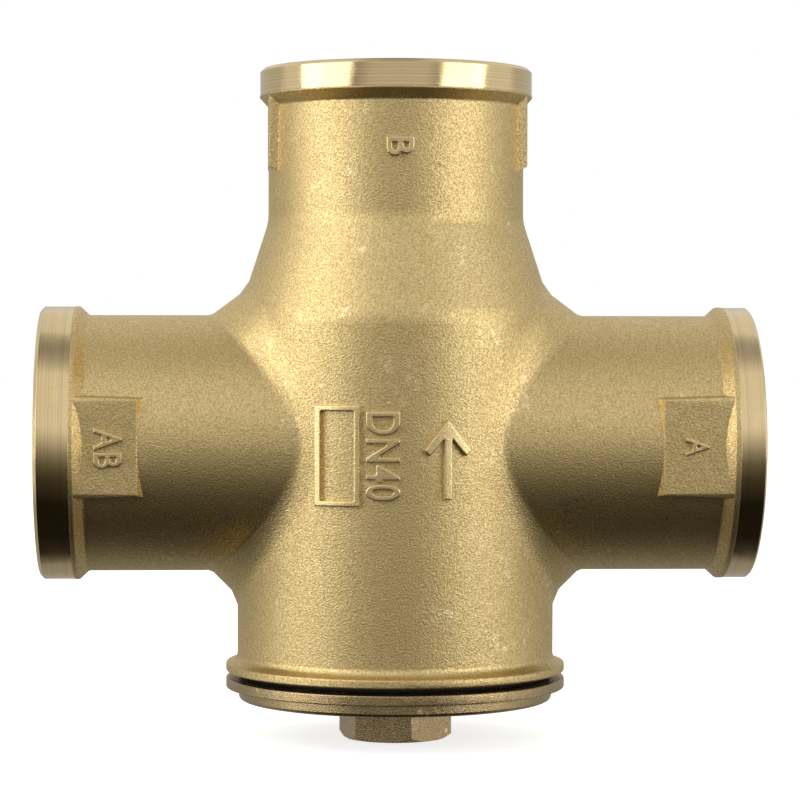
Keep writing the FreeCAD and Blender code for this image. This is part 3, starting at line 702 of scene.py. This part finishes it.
def cad_copy(node: bpy.types.Object, name: str) -> bpy.types.Object:
    """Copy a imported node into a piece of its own, with its loose triangles merged.

    Args:
        node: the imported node's object.
        name: name of the new piece.

    Returns:
        The new piece; large faces keep their own shading beside small blends.
    """
    piece = bpy.data.objects.new(name, node.data.copy())
    bpy.context.scene.collection.objects.link(piece)
    pick(piece)
    bpy.ops.mesh.customdata_custom_splitnormals_clear()
    bpy.ops.object.mode_set(mode="EDIT")
    bpy.ops.mesh.select_all(action="SELECT")
    bpy.ops.mesh.remove_doubles(threshold=MERGE)
    bpy.ops.object.mode_set(mode="OBJECT")
    bpy.ops.object.shade_smooth_by_angle(angle=math.radians(SMOOTH_ANGLE))
    modify(piece, "WEIGHTED_NORMAL", mode="FACE_AREA", weight=50, keep_sharp=True)
    return piece


# ---- the valve's pieces -----------------------------------------------------------
@dataclass
class Casting:
    """The cast body: raw skin outside and in the waterways, turned ports and cover seat."""

    node: bpy.types.Object
    port_height: float
    raw: bpy.types.Material
    turned_side: bpy.types.Material
    turned_top: bpy.types.Material
    band_ab: float = -66.9 * MM
    band_a: float = 68.7 * MM
    band_b: float = 134.6 * MM
    bore_radius: float = 24.4 * MM
    bore_start: float = 52.5 * MM
    bore_start_top: float = 118.6 * MM
    cover_bore_radius: float = 31.6 * MM
    cover_bore_top: float = 34.0 * MM
    cover_seat_width: float = 3.0 * MM
    cover_seat_top: float = 14.3 * MM

    def zone(self, at: Vector) -> int:
        """Tell which finish a spot of the casting has.

        Args:
            at: the spot.

        Returns:
            0 for the raw skin, 1 for turned about X, 2 for turned about Z.
        """
        side = math.hypot(at.y, at.z - self.port_height)
        upright = math.hypot(at.x, at.y)
        if not self.band_ab <= at.x <= self.band_a:
            return 1
        if side < self.bore_radius and abs(at.x) > self.bore_start:
            return 1
        if at.z > self.band_b or (upright < self.bore_radius and at.z > self.bore_start_top):
            return 2
        if upright < self.cover_bore_radius + self.cover_seat_width and at.z < self.cover_seat_top:
            return 2
        if upright < self.cover_bore_radius and at.z < self.cover_bore_top:
            return 2
        return 0

    def build(self) -> bpy.types.Object:
        """Return the dressed casting."""
        piece = cad_copy(self.node, "casting")
        piece.data.materials.clear()
        for material in (self.raw, self.turned_side, self.turned_top):
            piece.data.materials.append(material)
        for face in piece.data.polygons:
            face.material_index = self.zone(face.center)
        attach(piece, "valve")
        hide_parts("valve_body")
        LOG.info("casting: %d faces", len(piece.data.polygons))
        return piece


@dataclass
class PipeThread:
    """Internal pipe thread G 1 1/2: a wound ridge on the wall of a port's bore."""

    material: bpy.types.Material
    major_radius: float = 23.9 * MM
    height: float = 1.48 * MM
    pitch: float = 2.309 * MM
    turns: int = 8
    sink: float = 0.06 * MM
    steps: int = 72
    foot: float = 0.94             # height of the ridge's foot, in pitches
    tip: float = 0.16              # height of its crest, as a share of the foot
    run_out_turns: float = 0.6
    least: float = 0.04            # share of the ridge's height that is left at its very ends
    side_start: float = 53.24 * MM
    top_start: float = 119.44 * MM

    def run_out(self, piece: bpy.types.Object) -> None:
        """Let the ridge fade into the wall over its first and last part turn, as a tap leaves it.

        Args:
            piece: the wound ridge; its vertices follow each other section by section.
        """
        corners = len(piece.data.vertices) // (self.turns * self.steps + 1)
        last = self.turns * self.steps
        wall = self.major_radius + self.sink
        for vertex in piece.data.vertices:
            step = vertex.index // corners
            full = min(1.0, step / (self.run_out_turns * self.steps),
                       (last - step) / (self.run_out_turns * self.steps))
            radius = math.hypot(vertex.co.x, vertex.co.y)
            scale = (wall - (wall - radius) * max(full, self.least)) / radius
            vertex.co = (vertex.co.x * scale, vertex.co.y * scale, vertex.co.z)

    def build(self, name: str, start: Vector, way: Vector) -> bpy.types.Object:
        """Wind one ridge.

        Args:
            name: name of the piece.
            start: middle of the bore where the thread starts.
            way: direction along the bore, to the port's face.

        Returns:
            The thread, its ends closed.
        """
        piece = wind_wedge(self.major_radius + self.sink, self.height + self.sink, 0, self.pitch,
                           self.foot, self.tip, self.turns, self.steps)
        piece.name = name
        self.run_out(piece)
        close_ends(piece)
        piece.rotation_mode = "QUATERNION"
        piece.rotation_quaternion = way.to_track_quat("Z", "X")
        piece.location = start
        settle(piece)
        piece.data.materials.append(self.material)
        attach(piece, "valve")
        LOG.info("%s: %d faces", name, len(piece.data.polygons))
        return piece


@dataclass(frozen=True)
class Word:
    """Raised letters: what they say, their middle seen from the front, and their size."""

    name: str
    text: str
    x: float
    z: float
    tall: float
    long: float
    on_round: bool = True


@dataclass
class CastMarks:
    """Raised marks cast with the body: port letters, bore size, an empty frame and a flow arrow."""

    casting: bpy.types.Object
    material: bpy.types.Material
    rise: float = 1.1 * MM
    rounding: int = 20
    sink: float = 0.5 * MM
    grain: float = 0.1 * MM
    stroke: float = 0.3 * MM       # what the letters' strokes gain on each side
    letter_spacing: float = 1.08
    slab_depth: float = 6.0 * MM
    margin: float = 2.0 * MM
    frame_rim: float = 1.1 * MM
    lettering: tuple[Word, ...] = (
        Word("mark_ab", "AB", -59.0 * MM, 61.9 * MM, 5.7 * MM, 8.3 * MM, on_round=False),
        Word("mark_a", "A", 59.9 * MM, 62.1 * MM, 4.8 * MM, 3.8 * MM, on_round=False),
        Word("mark_b", "B", -0.4 * MM, 122.6 * MM, 5.6 * MM, 3.9 * MM),
        Word("mark_bore_size", "DN40", -4.1 * MM, 60.5 * MM, 7.0 * MM, 17.8 * MM))
    # Corners seen from the front, in millimetres, counterclockwise.
    frame: tuple = ((-17.7, 50.4), (-8.8, 50.4), (-8.8, 70.6), (-17.7, 70.6))
    arrow: tuple = (((8.2, 51.8), (9.8, 51.8), (9.8, 66.0), (8.2, 66.0)),
                    ((4.2, 61.6), (5.3, 60.5), (9.8, 65.9), (9.0, 67.8)),
                    ((13.8, 61.6), (9.0, 67.8), (8.2, 65.9), (12.7, 60.5)))
    reading_down: Matrix = field(default_factory=lambda: Matrix(((0, 1, 0), (0, 0, -1), (-1, 0, 0))))

    def surface(self, x: float, z: float) -> Vector:
        """Find the front of the casting.

        Args:
            x: place seen from the front, left to right.
            z: the same, up and down.

        Returns:
            The point of the surface there.
        """
        bpy.context.view_layer.update()
        hit, place, _, _ = self.casting.ray_cast(Vector((x, -0.2, z)), Vector((0, 1, 0)))
        if not hit:
            raise ValueError("no casting in front")
        return place

    def letters(self, word: Word) -> bpy.types.Object:
        """Set raised letters that read downwards, their tops to the right.

        Args:
            word: the letters.

        Returns:
            A slab of the letters that reaches well in front of and behind the surface.
        """
        deselect()
        bpy.ops.object.text_add(location=(0, 0, 0))
        piece = bpy.context.object
        piece.data.body = word.text
        piece.data.extrude = 4 * MM
        piece.data.size = 10 * MM
        piece.data.offset = self.stroke
        piece.data.space_character = self.letter_spacing
        bpy.ops.object.convert(target="MESH")
        piece = bpy.context.object
        choose(piece, lambda co: True)
        bpy.ops.mesh.remove_doubles(threshold=MERGE)
        bpy.ops.mesh.normals_make_consistent(inside=False)
        deselect()
        low, high = extent(piece)
        choose(piece, lambda co: True)
        bpy.ops.transform.translate(value=-(low + high) / 2)
        bpy.ops.transform.resize(value=(word.long / (high.x - low.x), word.tall / (high.y - low.y), 1))
        deselect()
        piece.rotation_euler = self.reading_down.to_euler()
        piece.location = (word.x, self.surface(word.x, word.z).y, word.z)
        pick(piece)
        bpy.ops.object.transform_apply(location=True, rotation=True, scale=True)
        return piece

    def slab(self, corners: list[tuple[float, float]], hole: float = 0.0) -> bpy.types.Object:
        """Raise a flat outline into a slab across the surface.

        Args:
            corners: x and z of the outline, counterclockwise seen from the front.
            hole: width of the rim that is left when the middle is cut out, 0 for none.

        Returns:
            The slab.
        """
        deselect()
        bpy.ops.mesh.primitive_circle_add(vertices=len(corners), radius=0.01, fill_type="NGON",
                                          rotation=(math.radians(90), 0, 0))
        piece = bpy.context.object
        bpy.ops.object.transform_apply(rotation=True)
        x, z = sum(c[0] for c in corners) / len(corners), sum(c[1] for c in corners) / len(corners)
        front = self.surface(x, z).y - self.slab_depth / 2
        for vertex, (px, pz) in zip(piece.data.vertices, corners):
            vertex.co = (px, front, pz)
        choose(piece, lambda co: True)
        if hole:
            bpy.ops.mesh.select_mode(type="FACE")
            bpy.ops.mesh.select_all(action="SELECT")
            bpy.ops.mesh.inset(thickness=hole)
            bpy.ops.mesh.delete(type="FACE")
        bpy.ops.mesh.select_all(action="SELECT")
        bpy.ops.mesh.extrude_region_move(TRANSFORM_OT_translate={"value": (0, self.slab_depth, 0)})
        bpy.ops.mesh.select_all(action="SELECT")
        bpy.ops.mesh.normals_make_consistent(inside=False)
        deselect()
        return piece

    def skin(self, piece: bpy.types.Object, on_round: bool = True) -> None:
        """Cut a slab down to what stands on the surface.

        Args:
            piece: the slab.
            on_round: whether it stands on a surface round about the upright axis, not on a flat pad.
        """
        low, high = extent(piece)
        x, z = (low.x + high.x) / 2, (low.z + high.z) / 2
        at = self.surface(x, z)
        deselect()
        tall = high.z - low.z + self.margin
        if on_round:
            bpy.ops.mesh.primitive_cylinder_add(vertices=360, radius=math.hypot(at.x, at.y) + self.rise,
                                                depth=tall, location=(0, 0, z))
        else:
            bpy.ops.mesh.primitive_cube_add(size=1, location=(x, at.y + (self.sink - self.rise) / 2, z),
                                            scale=(high.x - low.x + self.margin, self.rise + self.sink, tall))
        keep = bpy.context.object
        bpy.ops.object.transform_apply(location=True, rotation=True, scale=True)
        modify(piece, "BOOLEAN", operation="INTERSECT", solver="EXACT", use_self=True, object=keep)
        bpy.data.objects.remove(keep)

    def finish(self, name: str, parts: list[bpy.types.Object]) -> None:
        """Join slabs into one mark with rounded cast edges, and dress it.

        Args:
            name: name of the mark.
            parts: the slabs, cut down to the surface.
        """
        pick(*parts)
        if len(parts) > 1:
            bpy.ops.object.join()
        piece = bpy.context.object
        piece.name = name
        modify(piece, "REMESH", mode="VOXEL", voxel_size=self.grain)
        modify(piece, "SMOOTH", factor=0.5, iterations=self.rounding)
        settle(piece, 180)
        piece.data.materials.clear()
        piece.data.materials.append(self.material)
        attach(piece, "valve")
        LOG.info("%s: %d faces", name, len(piece.data.polygons))

    def build(self) -> None:
        """Make all the marks."""
        for word in self.lettering:
            piece = self.letters(word)
            self.skin(piece, word.on_round)
            self.finish(word.name, [piece])
        frame = self.slab([(x * MM, z * MM) for x, z in self.frame], hole=self.frame_rim)
        self.skin(frame)
        self.finish("mark_frame", [frame])
        bars = [self.slab([(x * MM, z * MM) for x, z in corners]) for corners in self.arrow]
        for bar in bars:
            self.skin(bar)
        self.finish("mark_arrow", bars)


@dataclass
class ScrewedCover:
    """The cover: blasted outside, with a hexagon; turned and threaded on its spigot and inside its cup."""

    node: bpy.types.Object
    material: bpy.types.Material
    threaded: bpy.types.Material
    spigot_foot: float = 12.95 * MM
    spigot_reach: float = 31.4 * MM
    spigot_radius: float = 28.35 * MM
    thread_start: float = 20.4 * MM
    pitch: float = 2.0 * MM
    groove: float = 1.15 * MM
    proud: float = 0.4 * MM        # what the cutter stands out of the spigot
    foot: float = 0.9              # height of the groove's mouth, in pitches
    tip: float = 0.2               # height of its root, as a share of the mouth
    turns: int = 5
    steps: int = 72

    def cutter(self) -> bpy.types.Object:
        """Wind the wedge that cuts the thread's groove."""
        wedge = wind_wedge(self.spigot_radius + self.proud, self.groove + self.proud, self.thread_start,
                           self.pitch, self.foot, self.tip, self.turns, self.steps)
        close_ends(wedge)
        return wedge

    def build(self) -> bpy.types.Object:
        """Return the dressed cover."""
        piece = cad_copy(self.node, "screwed_cover")
        wedge = self.cutter()
        modify(piece, "BOOLEAN", operation="DIFFERENCE", solver="EXACT", object=wedge)
        bpy.data.objects.remove(wedge)
        pick(piece)
        bpy.ops.object.shade_smooth_by_angle(angle=math.radians(SMOOTH_ANGLE))
        piece.data.materials.clear()
        for material in (self.material, self.threaded):
            piece.data.materials.append(material)
        for face in piece.data.polygons:
            turned = face.center.z > self.spigot_foot and math.hypot(*face.center.xy) < self.spigot_reach
            face.material_index = 1 if turned else 0
        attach(piece, "cover")
        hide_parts("cover")
        LOG.info("screwed_cover: %d faces", len(piece.data.polygons))
        return piece


@dataclass
class CoilSpring:
    """Round-wire spring with closed ends, wound about the upright axis."""

    name: str
    node: str
    wire: float
    foot_radius: float
    top_radius: float
    turns: float
    material: bpy.types.Material
    points_per_turn: int = 24
    closed_turns: float = 0.75
    closed_pitch: float = 2.04     # rise of a closed end, in wire radii

    def build(self) -> bpy.types.Object:
        """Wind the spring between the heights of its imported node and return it."""
        low_corner, high_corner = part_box(self.node)
        low, high = low_corner.z + self.wire, high_corner.z - self.wire
        squeeze = self.closed_pitch * self.wire
        count = round(self.turns * self.points_per_turn)
        deselect()
        bpy.ops.curve.primitive_nurbs_path_add()
        piece = bpy.context.object
        piece.name = self.name
        curve = piece.data
        curve.splines.clear()
        spline = curve.splines.new("NURBS")
        spline.points.add(count)
        for i, point in enumerate(spline.points):
            done = i / self.points_per_turn
            climb = min(max((done - self.closed_turns) / (self.turns - 2 * self.closed_turns), 0), 1)
            height = low + squeeze * min(done, self.closed_turns) / self.closed_turns
            height += (high - low - 2 * squeeze) * climb
            height += squeeze * max(done - self.turns + self.closed_turns, 0) / self.closed_turns
            radius = self.foot_radius + (self.top_radius - self.foot_radius) * i / count
            angle = math.tau * done
            point.co = (radius * math.cos(angle), radius * math.sin(angle), height, 1)
        spline.order_u = 4
        spline.use_endpoint_u = True
        spline.resolution_u = 2
        curve.dimensions = "3D"
        curve.bevel_depth = self.wire
        curve.bevel_resolution = 4
        curve.use_fill_caps = True
        bpy.ops.object.convert(target="MESH")
        piece = bpy.context.object
        choose(piece, lambda co: True)
        bpy.ops.mesh.remove_doubles(threshold=MERGE)
        bpy.ops.mesh.normals_make_consistent(inside=False)
        deselect()
        settle(piece, 40)
        piece.data.materials.append(self.material)
        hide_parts(self.node)
        LOG.info("%s: %d faces", self.name, len(piece.data.polygons))
        return piece


@dataclass
class Insert:
    """The thermostatic insert: fixed seat and cage, moving element, three springs."""

    nodes: dict[str, bpy.types.Object]
    slots: dict[str, str]

    def build(self) -> None:
        """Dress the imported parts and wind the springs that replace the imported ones."""
        wire = FormedMetal().build()
        finishes = {
            "seal_rubber": MouldedRubber().build(),
            "spring_steel": wire,
            "sheet_steel": FormedMetal(name="pressed_stainless_sheet", colour="CFCDC8", roughness=0.3,
                                       mark_mm=0.9).build(),
            "guide_brass": TurnedBrass(name="turned_guide_brass").build(),
            "capsule_copper": FormedMetal(name="drawn_copper", colour="D9946C", roughness=0.28).build(),
            "wax": FilledWax().build(),
        }
        for name, node in self.nodes.items():
            if self.slots[name] in finishes:
                node.data.materials.clear()
                node.data.materials.append(finishes[self.slots[name]])
        main = CoilSpring("return_spring", "main_spring", wire=0.8 * MM, foot_radius=13.6 * MM,
                          top_radius=13.6 * MM, turns=4.5, material=wire).build()
        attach(main, "valve")
        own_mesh(main)
        relief = CoilSpring("relief_spring", "bypass_spring", wire=0.6 * MM, foot_radius=8.6 * MM,
                            top_radius=5.2 * MM, turns=3.5, material=wire).build()
        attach(relief, "element")
        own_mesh(relief)
        hold = CoilSpring("hold_spring", "hold_down_spring", wire=1.1 * MM, foot_radius=23.0 * MM,
                          top_radius=23.0 * MM, turns=4.5, material=wire).build()
        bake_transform(hold)


def main() -> None:
    """Build the scene in order."""
    logging.basicConfig(level=logging.INFO, format="%(message)s")
    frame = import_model()
    nodes = frame["nodes"]
    Studio().build()
    mounts = {m["name"]: m["pos_m"] for m in frame["record"]["mounts"]}
    port_height = mounts["port_a"][2]
    centre = (0.0, 0.0, port_height)
    raw = ShotBlastedBrass().build()
    turned_side = TurnedBrass(name="turned_brass_side", axis=Axis.X, centre=centre).build()
    turned_top = TurnedBrass(name="turned_brass_top").build()
    casting = Casting(nodes["valve_body"], port_height, raw, turned_side, turned_top).build()
    # A tap cuts threads clean, so their crests stay sharp.
    tapped = {"line_depth_mm": 0.006, "edge_radius_mm": 0.0, "roughness": 0.22}
    tapped_side = TurnedBrass(name="tapped_brass_side", axis=Axis.X, centre=centre, **tapped).build()
    tapped_top = TurnedBrass(name="tapped_brass_top", **tapped).build()
    side, top = PipeThread(tapped_side), PipeThread(tapped_top)
    side.build("thread_ab", Vector((-side.side_start, 0, port_height)), Vector((-1, 0, 0)))
    side.build("thread_a", Vector((side.side_start, 0, port_height)), Vector((1, 0, 0)))
    top.build("thread_b", Vector((0, 0, top.top_start)), Vector((0, 0, 1)))
    # The marks stand proud, so the shot has burnished them and left their edges crisp.
    proud = ShotBlastedBrass(name="burnished_mark_brass", peak="EAD6A4", hollow="D8C391", dent_depth_mm=0.04,
                             edge_radius_mm=0.08, roughness=0.32).build()
    CastMarks(casting, proud).build()
    # Forged bar brass under a longer blast, more even than the casting; its browner, darker tone is partly
    # its own and partly painted shade for the dark reflection on the hexagon.
    cover = ShotBlastedBrass(name="blasted_cover_brass", peak="C2AC86", hollow="A08B66", dent_mm=0.27,
                             dent_depth_mm=0.045, edge_radius_mm=0.2, roughness=0.28).build()
    ScrewedCover(nodes["cover"], cover, tapped_top).build()
    Insert(nodes, {s["node"]: s["material_slot"] for s in frame["record"]["subparts"]}).build()
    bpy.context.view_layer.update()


if __name__ == "__main__":
    main()
